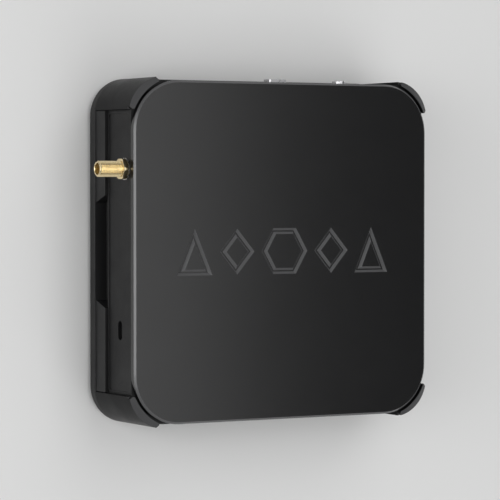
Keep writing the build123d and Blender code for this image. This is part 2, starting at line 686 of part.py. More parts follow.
MODULE = (67.6, 30.0, 1.0)
MODULE_TOP = BOARD_Z - 3.0
MEMORY_X = -14.0
MEMORY_Y = {"rear": 42.0, "front": 6.0}  # edge of each module that plugs in
SOCKET_HALF = 36.0
ARM_REACH = 25.0
ARM_T = 1.6
EDGE_DEPTH = 2.4  # how far a module's edge goes into its socket

for place, y in MEMORY_Y.items():
    with BuildPart() as memory_socket:
        brick(
            (MEMORY_X - SOCKET_HALF, y - 1.5, MODULE_TOP - 2.2),
            (MEMORY_X + SOCKET_HALF, y + 5, BOARD_Z),
        )
        for arm in (-SOCKET_HALF, SOCKET_HALF - ARM_T):
            brick(
                (MEMORY_X + arm, y - ARM_REACH, MODULE_TOP - 1.2),
                (MEMORY_X + arm + ARM_T, y - 1.5, BOARD_Z),
            )
        brick(
            (MEMORY_X - MODULE[0] / 2 - FIT, y - 1.5, MODULE_TOP - MODULE[2] - FIT),
            (MEMORY_X + MODULE[0] / 2 + FIT, y + EDGE_DEPTH + 0.1, MODULE_TOP + FIT),
            Mode.SUBTRACT,
        )
    save(memory_socket, f"memory_socket_{place}")

    with BuildPart() as memory_module:
        brick(
            (MEMORY_X - MODULE[0] / 2, y + EDGE_DEPTH - MODULE[1], MODULE_TOP - MODULE[2]),
            (MEMORY_X + MODULE[0] / 2, y + EDGE_DEPTH, MODULE_TOP),
        )
        with BuildSketch(Plane.XY.offset(MODULE_TOP - MODULE[2] - 0.9)) as chips:
            with Locations((MEMORY_X, y - 12)):
                with GridLocations(14, 1, 4, 1):
                    Rectangle(10, 12)
        extrude(chips.sketch, amount=0.9)
    save(memory_module, f"memory_module_{place}")

STORAGE_Y = -48.0
STORAGE_LOW_X = -48.0
STORAGE_LENGTH = 80.0
STORAGE_TOP = BOARD_Z - 2.6
SOCKET_DEPTH = 6.0
KEY_DEPTH = 3.0  # how far a card's edge goes into its socket
CARD_SCREW = (2.6, 1.7, 1.2)  # pillar and head radius, shank radius, head height
HALF_CARD = CARD_WIDTH / 2

with BuildPart() as card_sockets:
    storage_edge = STORAGE_LOW_X + STORAGE_LENGTH
    brick(
        (storage_edge - KEY_DEPTH, STORAGE_Y - HALF_CARD, STORAGE_TOP - 2),
        (storage_edge + SOCKET_DEPTH - KEY_DEPTH, STORAGE_Y + HALF_CARD, BOARD_Z),
    )
    brick(
        (storage_edge - KEY_DEPTH, STORAGE_Y - HALF_CARD + 1, STORAGE_TOP - CARD_T),
        (storage_edge + 0.1, STORAGE_Y + HALF_CARD - 1, STORAGE_TOP),
        Mode.SUBTRACT,
    )
    radio_edge = RADIO_Y - RADIO_LENGTH / 2
    brick(
        (RADIO_X - HALF_CARD, radio_edge - SOCKET_DEPTH + KEY_DEPTH, BOARD_TOP),
        (RADIO_X + HALF_CARD, radio_edge + KEY_DEPTH, RADIO_Z + CARD_T + 0.8),
    )
    brick(
        (RADIO_X - HALF_CARD + 1, radio_edge - 0.1, RADIO_Z),
        (RADIO_X + HALF_CARD - 1, radio_edge + KEY_DEPTH, RADIO_Z + CARD_T),
        Mode.SUBTRACT,
    )
save(card_sockets, "card_sockets")

with BuildPart() as storage_card:
    brick(
        (STORAGE_LOW_X, STORAGE_Y - HALF_CARD, STORAGE_TOP - CARD_T),
        (storage_edge - KEY_DEPTH, STORAGE_Y + HALF_CARD, STORAGE_TOP),
    )
    brick(
        (storage_edge - KEY_DEPTH, STORAGE_Y - HALF_CARD + 1, STORAGE_TOP - CARD_T),
        (storage_edge, STORAGE_Y + HALF_CARD - 1, STORAGE_TOP),
    )
    disc(STORAGE_LOW_X, STORAGE_Y, 1.9, STORAGE_TOP - CARD_T, STORAGE_TOP, Mode.SUBTRACT)
    for x, width in ((-34, 14), (-14, 14), (8, 12)):
        brick(
            (x - width / 2, STORAGE_Y - 8, STORAGE_TOP - CARD_T - 1.1),
            (x + width / 2, STORAGE_Y + 8, STORAGE_TOP - CARD_T),
        )
save(storage_card, "storage_card")

radio_end = RADIO_Y + RADIO_LENGTH / 2

with BuildPart() as radio_card:
    brick(
        (RADIO_X - HALF_CARD, radio_edge + KEY_DEPTH, RADIO_Z),
        (RADIO_X + HALF_CARD, radio_end, RADIO_Z + CARD_T),
    )
    brick(
        (RADIO_X - HALF_CARD + 1, radio_edge, RADIO_Z),
        (RADIO_X + HALF_CARD - 1, radio_edge + KEY_DEPTH, RADIO_Z + CARD_T),
    )
    disc(RADIO_X, radio_end, 1.9, RADIO_Z, RADIO_Z + CARD_T, Mode.SUBTRACT)
    brick(
        (RADIO_X - 9, radio_edge + 5, RADIO_Z + CARD_T),
        (RADIO_X + 9, PLUG_Y - 4, RADIO_Z + CARD_T + 1.3),
    )
save(radio_card, "radio_card")

with BuildPart() as card_screws:
    # Each card's free end rests on a brass pillar under its half-round notch.
    pillar_r, shank_r, head_h = CARD_SCREW
    storage_low = STORAGE_TOP - CARD_T
    disc(STORAGE_LOW_X, STORAGE_Y, pillar_r, STORAGE_TOP, BOARD_Z)
    disc(STORAGE_LOW_X, STORAGE_Y, shank_r, storage_low, STORAGE_TOP)
    disc(STORAGE_LOW_X, STORAGE_Y, pillar_r, storage_low - head_h, storage_low)
    disc(RADIO_X, radio_end, pillar_r, BOARD_TOP, RADIO_Z)
    disc(RADIO_X, radio_end, shank_r, RADIO_Z, RADIO_Z + CARD_T)
    disc(RADIO_X, radio_end, pillar_r, RADIO_Z + CARD_T, RADIO_Z + CARD_T + head_h)
save(card_screws, "card_screws")

# ---------------------------------------------------------------- small parts on the board

CELL_AT = (46.0, -36.0)
CELL_R = 10.0
CELL_T = 3.2
CELL_LOW = BOARD_TOP + 1.2
HOLDER_T = 3.6
CHOKE_SIDE = 7.0
CHOKE_H = 4.0
CAN_R = 3.1
CAN_H = 6.5

with BuildPart() as coin_cell:
    disc(*CELL_AT, CELL_R, CELL_LOW, CELL_LOW + CELL_T)
    fillet(coin_cell.edges().filter_by(GeomType.CIRCLE), radius=0.4)
save(coin_cell, "coin_cell")

with BuildPart() as coin_cell_holder:
    disc(*CELL_AT, CELL_R + 1.4, BOARD_TOP, BOARD_TOP + HOLDER_T)
    disc(*CELL_AT, CELL_R + 0.1, CELL_LOW, BOARD_TOP + HOLDER_T, Mode.SUBTRACT)
save(coin_cell_holder, "coin_cell_holder")

with BuildPart() as inductors:
    for y in (12.0, 22.0, 32.0):
        with BuildSketch(Plane.XY.offset(BOARD_TOP)) as choke:
            with Locations((40.5, y)):
                RectangleRounded(CHOKE_SIDE, CHOKE_SIDE, 0.8)
        extrude(choke.sketch, amount=CHOKE_H)
save(inductors, "inductors")

with BuildPart() as capacitors:
    for x, y in ((36.5, -6.0), (44.0, -6.0), (51.5, 42.0), (44.0, 43.5)):
        disc(x, y, CAN_R, BOARD_TOP, BOARD_TOP + CAN_H)
    fillet(capacitors.faces().filter_by(Axis.Z).group_by(Axis.Z)[-1].edges(), radius=0.5)
save(capacitors, "capacitors")

with BuildPart() as controller_chips:
    for x, y, size in ((-30.0, 48.0, 9.0), (24.0, 46.0, 7.0), (39.0, -20.0, 6.0), (-50.0, 44.0, 6.0)):
        brick((x - size / 2, y - size / 2, BOARD_TOP), (x + size / 2, y + size / 2, BOARD_TOP + 1.0))
save(controller_chips, "controller_chips")

# ---------------------------------------------------------------- sockets


def folded_socket(at, width, height, radius, depth, proud):
    """A socket of folded sheet metal: open in front, closed behind."""
    with BuildPart() as socket:
        pill(at, width, height, radius, -depth, proud)
        inside = (width - 2 * SHELL_T, height - 2 * SHELL_T, max(radius - SHELL_T, 0.2))
        pill(at, *inside, SHELL_T - depth, proud, Mode.SUBTRACT)
    return socket


HDMI_DEPTH = 12.0
DISPLAY_DEPTH = 14.0
USB_DEPTH = 14.0
USB_C_DEPTH = 9.0
NETWORK_DEPTH = 16.0

hdmi_at = rear_port("hdmi_port", HDMI[1])
display_at = rear_port("display_port", DISPLAY[1])
network_at = rear_port("network_jack", NETWORK[1])
usb_c_at = right_port(USB_C_AT, USB_C[1])

save(folded_socket(hdmi_at, *HDMI, 0.9, HDMI_DEPTH, PORT_PROUD["hdmi_port"]), "hdmi_port")
save(folded_socket(display_at, *DISPLAY, 0.8, DISPLAY_DEPTH, PORT_PROUD["display_port"]), "display_port")
save(folded_socket(usb_c_at, *USB_C, USB_C[1] * 0.49, USB_C_DEPTH, PORT_PROUD["usb"]), "usb_c_port")
for name, along in USB_AT.items():
    save(folded_socket(right_port(along, USB_A[1]), *USB_A, 0.7, USB_DEPTH, PORT_PROUD["usb"]), name)

MOUTH = (11.8, 6.8)
LATCH = (6.2, 3.0)
MOUTH_DEPTH = 12.5
MOUTH_DROP = 1.6

with BuildPart() as network_jack:
    pill(network_at, *NETWORK, 0.4, -NETWORK_DEPTH, PORT_PROUD["network_jack"])
    pill(network_at, *MOUTH, 0.3, -MOUTH_DEPTH, 1, Mode.SUBTRACT, drop=MOUTH_DROP)
    latch_drop = MOUTH_DROP - (MOUTH[1] + LATCH[1]) / 2 + 0.1
    pill(network_at, *LATCH, 0.3, -MOUTH_DEPTH, 1, Mode.SUBTRACT, drop=latch_drop)
save(network_jack, "network_jack")

with BuildPart() as port_tongues:
    # The plastic strip in each socket that carries its contacts: plane, width, height, back, front, drop.
    strips = [(usb_c_at, 6.6, 0.7, USB_C_DEPTH, 1.2, 0), (hdmi_at, 10.6, 1.3, HDMI_DEPTH, 1.6, -0.3)]
    strips.append((display_at, 5.0, 1.0, DISPLAY_DEPTH, 1.4, -0.3))
    for along in USB_AT.values():
        strips.append((right_port(along, USB_A[1]), 11.0, 1.8, USB_DEPTH, 2.0, -1.2))
    for at, width, height, back, front, drop in strips:
        pill(at, width, height, 0.3, SHELL_T - back, -front, drop=drop)
save(port_tongues, "port_tongues")

JACK_BORE_R = 3.15
JACK_PIN_R = 1.0
JACK_DEPTH = 15.0
JACK_BORE_L = 11.0
AUDIO_DEPTH = 14.0
AUDIO_BORE_L = 13.0

with BuildPart() as power_jack:
    jack_at = rear_port("power_jack", POWER[1])
    pill(jack_at, *POWER, 0.5, -JACK_DEPTH, -WALL_T)
    column(jack_at, JACK_SLEEVE_R, -WALL_T, -RUN)
    column(jack_at, JACK_BORE_R, -JACK_BORE_L, -RUN, Mode.SUBTRACT)
    column(jack_at, JACK_PIN_R, -JACK_BORE_L, -1.5)
save(power_jack, "power_jack")

AUDIO_BORE_R = 1.8

with BuildPart() as audio_jack:
    audio_at = rear_port("audio_jack", AUDIO[1])
    pill(audio_at, *AUDIO, 0.4, -AUDIO_DEPTH, -WALL_T)
    column(audio_at, AUDIO_FERRULE_R, -WALL_T, PORT_PROUD["audio_jack"])
    fillet(audio_jack.edges().filter_by(GeomType.CIRCLE).sort_by(Axis.Y)[-1], radius=0.35)
    column(audio_at, AUDIO_BORE_R, -AUDIO_BORE_L, PORT_PROUD["audio_jack"], Mode.SUBTRACT)
save(audio_jack, "audio_jack")

# ---------------------------------------------------------------- power button, its switch and the light

button = wall_plane(FRONT, BUTTON_X, BUTTON_Z)
FLANGE_T = 0.9
FLANGE_W = 1.5
STEM_R = 1.8
STEM_END = -(WALL_T + RUN + FLANGE_T + 2.6)
PLUNGER_R = 1.6
PLUNGER_LENGTH = 2.6
SWITCH_FACE = STEM_END - 1.7
SWITCH_T = 3.6

with BuildPart() as power_button:
    column(button, BUTTON_R, -WALL_T - RUN, BUTTON_PROUD)
    fillet(power_button.edges().filter_by(GeomType.CIRCLE).sort_by(Axis.Y)[0], radius=0.35)
    column(button, BUTTON_R + FLANGE_W, -WALL_T - RUN - FLANGE_T, -WALL_T - RUN)
    column(button, STEM_R, STEM_END, -WALL_T - RUN - FLANGE_T)
save(power_button, "power_button")

with BuildPart() as switch_plunger:
    column(button, PLUNGER_R, STEM_END - 0.05 - PLUNGER_LENGTH, STEM_END - 0.05)
save(switch_plunger, "switch_plunger")

with BuildPart() as power_switch:
    switch_top = BUTTON_Z + 3.4
    with BuildSketch(wall_plane(FRONT, BUTTON_X, (BOARD_TOP + switch_top) / 2, out=SWITCH_FACE)) as body:
        Rectangle(6.4, switch_top - BOARD_TOP)
    extrude(body.sketch, amount=-SWITCH_T)
    column(button, PLUNGER_R + RUN, SWITCH_FACE - 1.9, SWITCH_FACE, Mode.SUBTRACT)
save(power_switch, "power_switch")

with BuildPart() as status_light:
    light = wall_plane(FRONT, LIGHT_X, BUTTON_Z)
    column(light, LIGHT_R, -WALL_T, -PANEL_RECESS + 0.1)
    column(light, LIGHT_R + 0.9, -WALL_T - 3.4, -WALL_T)
save(status_light, "status_light")
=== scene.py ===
import json
from math import cos, pi, radians, sin, tan

import bmesh
import bpy
from mathutils import Matrix, Vector


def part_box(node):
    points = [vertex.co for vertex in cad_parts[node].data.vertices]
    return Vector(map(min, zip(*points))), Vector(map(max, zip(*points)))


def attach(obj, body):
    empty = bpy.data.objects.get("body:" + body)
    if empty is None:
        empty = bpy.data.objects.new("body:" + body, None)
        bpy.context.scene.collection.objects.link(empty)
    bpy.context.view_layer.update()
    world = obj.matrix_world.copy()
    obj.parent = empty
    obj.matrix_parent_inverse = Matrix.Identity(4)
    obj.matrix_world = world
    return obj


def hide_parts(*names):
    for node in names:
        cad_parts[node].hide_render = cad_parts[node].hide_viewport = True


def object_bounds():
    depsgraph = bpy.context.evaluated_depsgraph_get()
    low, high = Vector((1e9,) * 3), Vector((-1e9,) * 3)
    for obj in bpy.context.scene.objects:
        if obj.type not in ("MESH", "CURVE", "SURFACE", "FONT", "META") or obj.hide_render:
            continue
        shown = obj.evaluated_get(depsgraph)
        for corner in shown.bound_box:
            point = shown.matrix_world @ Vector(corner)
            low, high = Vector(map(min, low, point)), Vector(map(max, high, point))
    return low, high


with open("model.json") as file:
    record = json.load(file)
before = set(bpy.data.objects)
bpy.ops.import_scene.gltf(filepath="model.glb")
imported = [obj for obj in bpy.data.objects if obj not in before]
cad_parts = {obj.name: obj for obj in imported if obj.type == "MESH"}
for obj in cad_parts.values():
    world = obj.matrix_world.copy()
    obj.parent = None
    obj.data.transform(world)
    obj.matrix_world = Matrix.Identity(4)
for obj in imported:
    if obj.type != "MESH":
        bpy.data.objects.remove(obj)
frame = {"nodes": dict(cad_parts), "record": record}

cad_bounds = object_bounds()

MM = 0.001
scene = bpy.context.scene
nodes = frame["nodes"]

# ---------------------------------------------------------------- shader helpers


def add_node(tree, kind, inputs=None, **settings):
    """A new shader node with its settings, and its inputs set or linked."""
    made = tree.nodes.new(kind)
    for key, value in settings.items():
        setattr(made, key, value)
    for key, value in (inputs or {}).items():
        if isinstance(value, bpy.types.NodeSocket):
            tree.links.new(value, made.inputs[key])
        else:
            made.inputs[key].default_value = value
    return made


def new_material(name):
    """An empty material with its shader, its output and the object's own coordinates."""
    made = bpy.data.materials.new(name)
    made.use_nodes = True
    tree = made.node_tree
    tree.nodes.clear()
    shader = add_node(tree, "ShaderNodeBsdfPrincipled")
    output = add_node(tree, "ShaderNodeOutputMaterial")
    tree.links.new(shader.outputs["BSDF"], output.inputs["Surface"])
    coords = add_node(tree, "ShaderNodeTexCoord").outputs["Object"]
    return made, tree, shader, coords


def noise(tree, coords, size_mm, detail=3.0, roughness=0.55, stretch=None, distortion=0.0):
    """Noise with lumps of about the given size, stretched along the axes if asked."""
    if stretch:
        mapped = add_node(tree, "ShaderNodeMapping", {"Vector": coords, "Scale": stretch})
        coords = mapped.outputs["Vector"]
    inputs = {
        "Vector": coords,
        "Scale": 1 / (size_mm * MM),
        "Detail": detail,
        "Roughness": roughness,
        "Distortion": distortion,
    }
    return add_node(tree, "ShaderNodeTexNoise", inputs).outputs["Fac"]


def cells(tree, coords, size_mm, distance="EUCLIDEAN"):
    """Distances in a Voronoi pattern with cells of about the given size."""
    inputs = {"Vector": coords, "Scale": 1 / (size_mm * MM)}
    return add_node(tree, "ShaderNodeTexVoronoi", inputs, distance=distance).outputs["Distance"]


def remap(tree, value, low, high, to_low=0.0, to_high=1.0):
    """The value stretched from one range to another, and held inside it."""
    inputs = {"Value": value, "From Min": low, "From Max": high, "To Min": to_low, "To Max": to_high}
    return add_node(tree, "ShaderNodeMapRange", inputs).outputs["Result"]


def math_of(tree, operation, first, second):
    """One arithmetic operation on two values."""
    return add_node(tree, "ShaderNodeMath", {0: first, 1: second}, operation=operation).outputs[0]


def blend_colour(tree, amount, first, second):
    """A colour between two colours."""
    made = add_node(tree, "ShaderNodeMix", data_type="RGBA")
    for key, value in (("Factor", amount), ("A", first), ("B", second)):
        kind = "VALUE" if key == "Factor" else "RGBA"
        socket = next(s for s in made.inputs if s.name == key and s.type == kind)
        if isinstance(value, bpy.types.NodeSocket):
            tree.links.new(value, socket)
        else:
            socket.default_value = value
    return next(s for s in made.outputs if s.type == "RGBA")


def shade(colour, factor):
    """The colour made lighter or darker, with its alpha."""
    return tuple(min(c * factor, 1.0) for c in colour[:3]) + (1.0,)


def edge_mask(tree, coords, radius_mm, low, high):
    """Where edges are, broken up as handling breaks them up; and the rounded normal there."""
    rounded = add_node(tree, "ShaderNodeBevel", {"Radius": radius_mm * MM}, samples=6).outputs["Normal"]
    true = add_node(tree, "ShaderNodeNewGeometry").outputs["Normal"]
    along = add_node(tree, "ShaderNodeVectorMath", {0: rounded, 1: true}, operation="DOT_PRODUCT")
    bend = math_of(tree, "SUBTRACT", 1.0, along.outputs["Value"])
    worn = remap(tree, noise(tree, coords, 2.5, 5.0, 0.65), low, high)
    return math_of(tree, "MULTIPLY", remap(tree, bend, 0.01, 0.16), worn), rounded


EDGE_BREAK = (0.42, 0.66)  # noise values between which a rubbed edge fades out
PEBBLE = 0.4  # share of rounded lumps in moulded grain
FINE_ROUGHNESS = 0.03
POLISH = 0.14  # how much smoother a rubbed edge is
TILT_BLEND = 0.05


def surface(
    name,
    colour,
    rough,
    metal=0.0,
    specular=0.5,
    drift=0.12,
    drift_mm=35.0,
    grain_mm=0.25,
    grain_um=6.0,
    brushed=None,
    round_mm=0.25,
    wear=0.5,
    wear_colour=None,
    smudge=0.06,
    coat=0.0,
    sheen=0.0,
    facing=None,
):
    """One finish: drifting colour, moulded or brushed grain, rubbed edges and handled patches.

    With facing, faces whose normal has a Z between two values take a paler colour: a painted highlight for
    the light that these tilted faces catch.
    """
    made, tree, shader, coords = new_material(name)
    base = shade(colour, 1.0)
    broad = noise(tree, coords, drift_mm, 4.0)
    speck = noise(tree, coords, grain_mm * 2.2, 2.0)
    patch = noise(tree, coords, drift_mm * 0.4, 6.0, 0.6, distortion=0.6)
    mask, rounded = edge_mask(tree, coords, round_mm, *EDGE_BREAK)
    tinted = blend_colour(tree, remap(tree, broad, 0.3, 0.7), shade(base, 1 - drift), shade(base, 1 + drift))
    specks_plus_highlight = blend_colour(tree, remap(tree, speck, 0.55, 0.8, 0.0, 0.35), tinted, shade(base, 1.35))
    # painted highlight: faces tilted within the given range are lightened for the light they catch, not for
    # any colour of the plastic
    if facing:
        low, high, highlight_colour = facing
        normal = add_node(tree, "ShaderNodeNewGeometry").outputs["Normal"]
        rise = add_node(tree, "ShaderNodeSeparateXYZ", {"Vector": normal}).outputs["Z"]
        above = remap(tree, rise, low - TILT_BLEND, low)
        below = remap(tree, rise, high, high + TILT_BLEND, 1.0, 0.0)
        inside = math_of(tree, "MULTIPLY", above, below)
        highlight_share = math_of(tree, "MULTIPLY", inside, remap(tree, broad, 0.2, 0.8, 0.8, 1.0))
        specks_plus_highlight = blend_colour(tree, highlight_share, specks_plus_highlight, shade(highlight_colour, 1.0))
    rubbed = wear_colour or shade(base, 2.2)
    worn = math_of(tree, "MULTIPLY", mask, wear)
    tree.links.new(blend_colour(tree, worn, specks_plus_highlight, shade(rubbed, 1.0)), shader.inputs["Base Color"])
    handled = remap(tree, patch, 0.35, 0.7, rough - smudge, rough + smudge)
    fine = remap(tree, speck, 0.3, 0.7, -FINE_ROUGHNESS, FINE_ROUGHNESS)
    total = math_of(tree, "ADD", handled, fine)
    polish = math_of(tree, "MULTIPLY", worn, POLISH)
    tree.links.new(math_of(tree, "SUBTRACT", total, polish), shader.inputs["Roughness"])
    if brushed:
        height = noise(tree, coords, grain_mm, 3.0, 0.7, stretch=brushed)
    else:
        lumps = noise(tree, coords, grain_mm, 2.0)
        pebbles = math_of(tree, "MULTIPLY", cells(tree, coords, grain_mm * 1.6), PEBBLE)
        height = math_of(tree, "ADD", lumps, pebbles)
    bump = add_node(
        tree,
        "ShaderNodeBump",
        {"Height": height, "Distance": grain_um * MM * MM, "Strength": 1.0, "Normal": rounded},
    )
    tree.links.new(bump.outputs["Normal"], shader.inputs["Normal"])
    shader.inputs["Metallic"].default_value = metal
    shader.inputs["Specular IOR Level"].default_value = specular
    shader.inputs["Coat Weight"].default_value = coat
    shader.inputs["Coat Roughness"].default_value = 0.2
    shader.inputs["Sheen Weight"].default_value = sheen
    return made


def laminate(name, mask_colour, copper_colour):
    """A circuit board: solder mask with tracks under it and plated holes through it."""
    made, tree, shader, coords = new_material(name)
    flat = add_node(tree, "ShaderNodeMapping", {"Vector": coords, "Scale": (1.0, 1.0, 0.0)}).outputs["Vector"]
    tracks = cells(tree, flat, 2.4, "CHEBYCHEV")
    lines = math_of(tree, "PINGPONG", tracks, 0.09)
    track = remap(tree, lines, 0.05, 0.06)
    via = math_of(tree, "LESS_THAN", cells(tree, flat, 3.3), 0.11)
    broad = noise(tree, coords, 18.0, 4.0)
    green = blend_colour(tree, broad, shade(mask_colour, 0.75), shade(mask_colour, 1.2))
    tracked = blend_colour(tree, track, green, shade(mask_colour, 1.9))
    tree.links.new(blend_colour(tree, via, tracked, shade(copper_colour, 1.0)), shader.inputs["Base Color"])
    tree.links.new(remap(tree, noise(tree, coords, 6.0), 0.3, 0.7, 0.22, 0.4), shader.inputs["Roughness"])
    bump = add_node(tree, "ShaderNodeBump", {"Height": track, "Distance": 3e-5, "Strength": 0.8})
    tree.links.new(bump.outputs["Normal"], shader.inputs["Normal"])
    shader.inputs["Coat Weight"].default_value = 0.3
    return made


BRASS = (0.93, 0.75, 0.45)
SILVER = (0.66, 0.66, 0.67)
# Paler than the plastic itself: they stand in for how the cover's sloped edges and the ridges catch light.
# A tilt is the range of the Z of a face's normal that takes the pale colour.
BEVEL_TILT = (0.5, 0.8)
PALE_BEVEL = (0.125, 0.125, 0.128)
RIDGE_TILT = (0.7, 1.1)
PALE_RIDGE = (0.075, 0.075, 0.077)

finishes = {
    "cover_plastic": surface("cover_plastic", (0.0055, 0.0055, 0.0058), 0.21, specular=0.62, grain_um=2.5,
                             drift=0.05, wear=0.6, smudge=0.006, facing=(*BEVEL_TILT, PALE_BEVEL),
                             wear_colour=(0.09, 0.09, 0.092)),
    "shell_plastic": surface("shell_plastic", (0.008, 0.008, 0.0084), 0.46, specular=0.25, grain_um=12.0,
                             drift=0.2, wear_colour=(0.05, 0.05, 0.052)),
    "base_plastic": surface("base_plastic", (0.010, 0.010, 0.0104), 0.48, specular=0.34, grain_um=13.0,
                            drift=0.2, wear_colour=(0.06, 0.06, 0.062)),
    "post_plastic": surface("post_plastic", (0.006, 0.006, 0.0063), 0.40, specular=0.10, grain_um=8.0,
                            wear=0.8, facing=(*RIDGE_TILT, PALE_RIDGE), wear_colour=(0.07, 0.07, 0.072)),
    "foot_rubber": surface("foot_rubber", (0.022, 0.022, 0.022), 0.86, specular=0.3, grain_mm=0.35,
                           grain_um=22.0, smudge=0.05, wear_colour=(0.06, 0.06, 0.058), sheen=0.15),
    "mesh_steel": surface("mesh_steel", (0.013, 0.013, 0.013), 0.5, grain_mm=0.12, grain_um=6.0,
                          round_mm=0.08, wear_colour=(0.12, 0.12, 0.12)),
    "black_screw": surface("black_screw", (0.055, 0.055, 0.058), 0.38, metal=1.0, grain_mm=0.1, grain_um=3.0,
                           round_mm=0.12, wear_colour=(0.35, 0.34, 0.33)),
    "brass": surface("brass", (0.62, 0.44, 0.18), 0.30, metal=1.0, drift=0.2, drift_mm=4.0, grain_mm=0.08,
                     grain_um=2.5, round_mm=0.12, wear_colour=(0.9, 0.74, 0.42)),
    "gold_brass": surface("gold_brass", BRASS, 0.22, metal=1.0, drift=0.12, drift_mm=3.0, grain_mm=0.07,
                          grain_um=1.5, round_mm=0.08, wear=0.7, wear_colour=(1.0, 0.86, 0.55)),
    "copper": surface("copper", (0.72, 0.34, 0.20), 0.34, metal=1.0, drift=0.25, drift_mm=8.0, grain_um=3.0,
                      brushed=(1.0, 12.0, 12.0), wear_colour=(0.92, 0.58, 0.42)),
    "bright_steel": surface("bright_steel", (0.60, 0.60, 0.61), 0.27, metal=1.0, drift=0.1, drift_mm=5.0,
                            grain_mm=0.1, grain_um=2.0, round_mm=0.1, wear_colour=(0.85, 0.85, 0.86)),
    "port_steel": surface("port_steel", SILVER, 0.30, metal=1.0, drift=0.1, drift_mm=6.0, grain_um=1.5,
                          brushed=(10.0, 10.0, 1.0), round_mm=0.12, wear_colour=(0.9, 0.9, 0.91)),
    "bare_aluminium": surface("bare_aluminium", (0.66, 0.67, 0.68), 0.36, metal=1.0, drift_mm=10.0,
                              grain_um=3.0, brushed=(1.0, 14.0, 14.0), wear_colour=(0.88, 0.88, 0.89)),
    "white_insulator": surface("white_insulator", (0.78, 0.77, 0.73), 0.42, grain_um=3.0, drift=0.05,
                               wear_colour=(0.9, 0.9, 0.88)),
    "lead_jacket": surface("lead_jacket", (0.02, 0.02, 0.02), 0.42, grain_um=3.0,
                           wear_colour=(0.08, 0.08, 0.08)),
    "board_laminate": laminate("board_laminate", (0.010, 0.060, 0.030), (0.75, 0.6, 0.3)),
    "module_laminate": laminate("module_laminate", (0.008, 0.045, 0.026), (0.8, 0.62, 0.3)),
    "chip_black": surface("chip_black", (0.02, 0.02, 0.021), 0.55, grain_mm=0.12, grain_um=4.0,
                          wear_colour=(0.09, 0.09, 0.09)),
    "pad_grey": surface("pad_grey", (0.36, 0.38, 0.42), 0.8, grain_mm=0.4, grain_um=15.0,
                        wear_colour=(0.5, 0.5, 0.52)),
    "fan_plastic": surface("fan_plastic", (0.016, 0.016, 0.016), 0.45, grain_um=4.0,
                           wear_colour=(0.08, 0.08, 0.08)),
    "connector_plastic": surface("connector_plastic", (0.014, 0.014, 0.014), 0.42, grain_mm=0.15,
                                 grain_um=4.0, round_mm=0.12, wear_colour=(0.07, 0.07, 0.07)),
    "button_plastic": surface("button_plastic", (0.014, 0.014, 0.015), 0.30, grain_um=1.5, round_mm=0.3,
                              wear_colour=(0.06, 0.06, 0.062), coat=0.3),
    "switch_plastic": surface("switch_plastic", (0.62, 0.61, 0.56), 0.4, grain_um=3.0, drift=0.05,
                              wear_colour=(0.8, 0.8, 0.76)),
    "light_pipe": surface("light_pipe", (0.60, 0.63, 0.66), 0.32, grain_um=3.0, drift=0.05, coat=0.4,
                          wear_colour=(0.85, 0.87, 0.9)),
}

for part in frame["record"]["subparts"]:
    target = nodes[part["node"]]
    target.data.materials.clear()
    target.data.materials.append(finishes[part["material_slot"]])

# ---------------------------------------------------------------- mesh helpers


def circle(radius, height, steps):
    """A ring of points about Z."""
    angles = [2 * pi * i / steps for i in range(steps)]
    return [(radius * cos(angle), radius * sin(angle), height) for angle in angles]


class Shape:
    """A mesh in the making, in millimetres, placed by a frame whose Z leaves the wall."""

    def __init__(self, at=Matrix.Identity(4)):
        self.mesh = bmesh.new()
        self.at = at

    def take(self, part):
        """Add a finished bmesh."""
        part.transform(self.at)
        held = bpy.data.meshes.new("held")
        part.to_mesh(held)
        part.free()
        self.mesh.from_mesh(held)
        bpy.data.meshes.remove(held)

    def bar(self, centre, size, soften, lean=0.0):
        """A bar with softened edges, leaning about its own X."""
        part = bmesh.new()
        bmesh.ops.create_cube(part, size=1.0)
        bmesh.ops.scale(part, vec=size, verts=part.verts)
        bmesh.ops.bevel(part, geom=part.edges[:], offset=soften, segments=2, affect="EDGES", profile=0.6)
        part.transform(Matrix.Translation(centre) @ Matrix.Rotation(lean, 4, "X"))
        self.take(part)

    def rings(self, rows, closed=True):
        """Rings of points, each joined to the next, the last to the first if closed."""
        part = bmesh.new()
        made = [[part.verts.new(point) for point in row] for row in rows]
        count = len(rows[0])
        pairs = list(zip(made, made[1:]))
        if closed:
            pairs.append((made[-1], made[0]))
        for low, high in pairs:
            for i in range(count):
                j = (i + 1) % count
                part.faces.new((low[i], low[j], high[j], high[i]))
        bmesh.ops.recalc_face_normals(part, faces=part.faces[:])
        self.take(part)

    def turned(self, profile, steps=64, closed=True):
        """A profile of radius and height, turned about Z."""
        self.rings([circle(radius, height, steps) for radius, height in profile], closed)

    def finish(self, name, slot, body="case", stands_for=(), sharp=35.0):
        """The finished piece, riding on its body."""
        self.mesh.transform(Matrix.Scale(MM, 4))
        data = bpy.data.meshes.new(name)
        self.mesh.to_mesh(data)
        self.mesh.free()
        data.shade_smooth()
        data.set_sharp_from_angle(angle=radians(sharp))
        data.materials.append(finishes[slot])
        made = bpy.data.objects.new(name, data)
        scene.collection.objects.link(made)
        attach(made, body)
        if stands_for:
            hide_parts(*stands_for)


OUTWARD = {
    "left": Vector((-1, 0, 0)),
    "right": Vector((1, 0, 0)),
    "front": Vector((0, -1, 0)),
    "rear": Vector((0, 1, 0)),
}


def wall_frame(side, point_mm):
    """A frame at a point: X along the wall, Y up, Z out of the wall."""
    out = OUTWARD[side]
    along = Vector((0, 0, 1)).cross(out)
    axes = Matrix((along, Vector((0, 0, 1)), out)).transposed()
    return Matrix.Translation(point_mm) @ axes.to_4x4()


def node_frame(name, side):
    """The frame at the middle of a node's outer end, and the node's size along that frame's axes."""
    low, high = (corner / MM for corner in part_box(name))
    out = OUTWARD[side]
    middle = (low + high) / 2
    size = high - low
    middle += out * abs(size.dot(out)) / 2
    turned = wall_frame(side, Vector())
    return wall_frame(side, middle), Vector(abs(size.dot(turned.col[i].to_3d())) for i in range(3))


# ---------------------------------------------------------------- aerial socket

